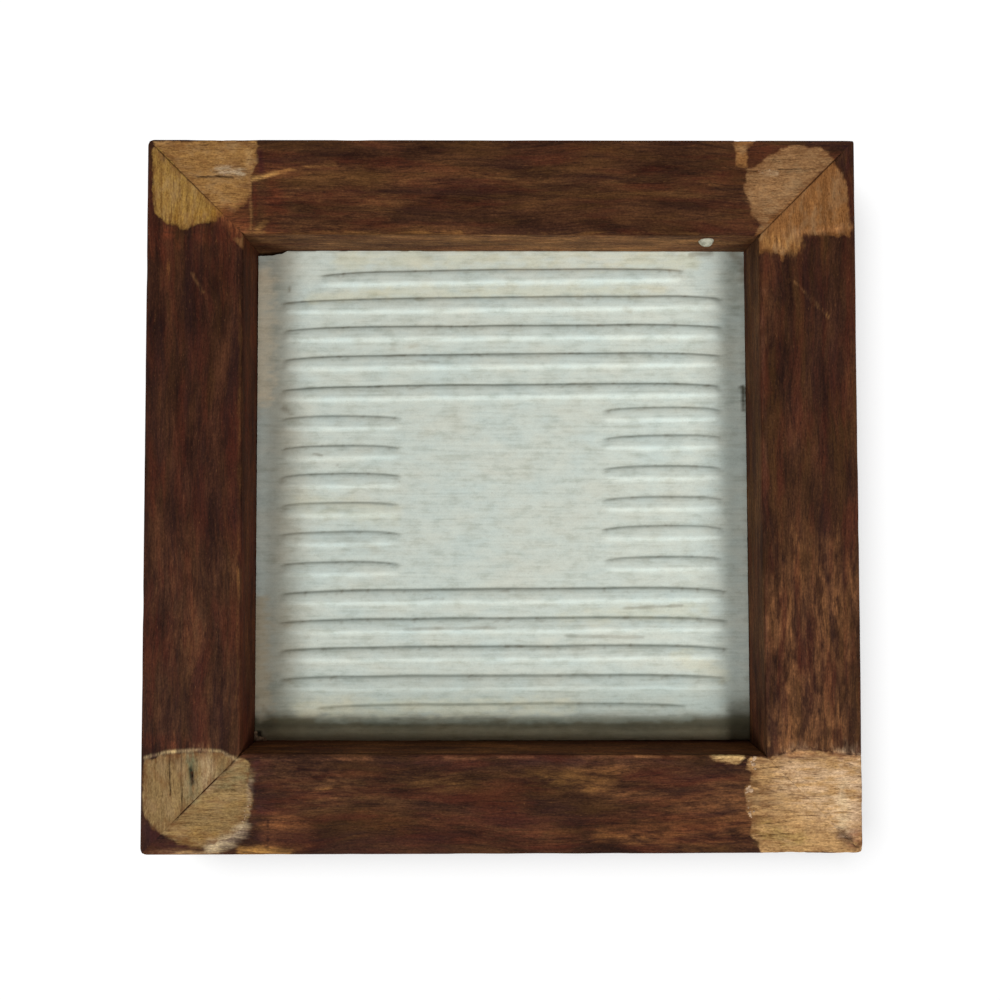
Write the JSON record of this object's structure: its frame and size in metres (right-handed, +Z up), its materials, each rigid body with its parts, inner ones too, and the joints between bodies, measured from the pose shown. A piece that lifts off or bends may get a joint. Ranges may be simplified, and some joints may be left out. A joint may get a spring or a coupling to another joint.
{
  "type": "framed tile trivet",
  "caption": "Square trivet: a ribbed-back ceramic tile set in a deep frame of mitred, dark stained hardwood rails with bare torn patches at the corners.",
  "frame": {"origin": "centre of the plane of the face, the flat land of the rails that the trivet lies on, which is also the lowest plane", "axes": "+Z up out of the back, as the trivet lies on its face in the picture; -Z is out of the glazed face, which is up in use, so half a turn about X stands it for use; +X to the right rail and +Y to the back rail, at the right and the top of the picture"},
  "size_m": [0.2108, 0.2108, 0.0254],
  "materials": {
    "rail_wood": "satin",
    "tile_bisque": "matte",
    "tile_glaze": "gloss",
    "dried_glue": "satin",
    "brad_steel": "satin",
    "wood_putty": "matte"
  },
  "bodies": {
    "root": {"rail_back": "rail_wood", "rail_front": "rail_wood", "rail_left": "rail_wood", "rail_right": "rail_wood", "tile": "tile_bisque", "tile_adhesive": "dried_glue", "glue_drop": "dried_glue", "mitre_brads": "brad_steel", "brad_putty": "wood_putty"}
  },
  "joints": []
}
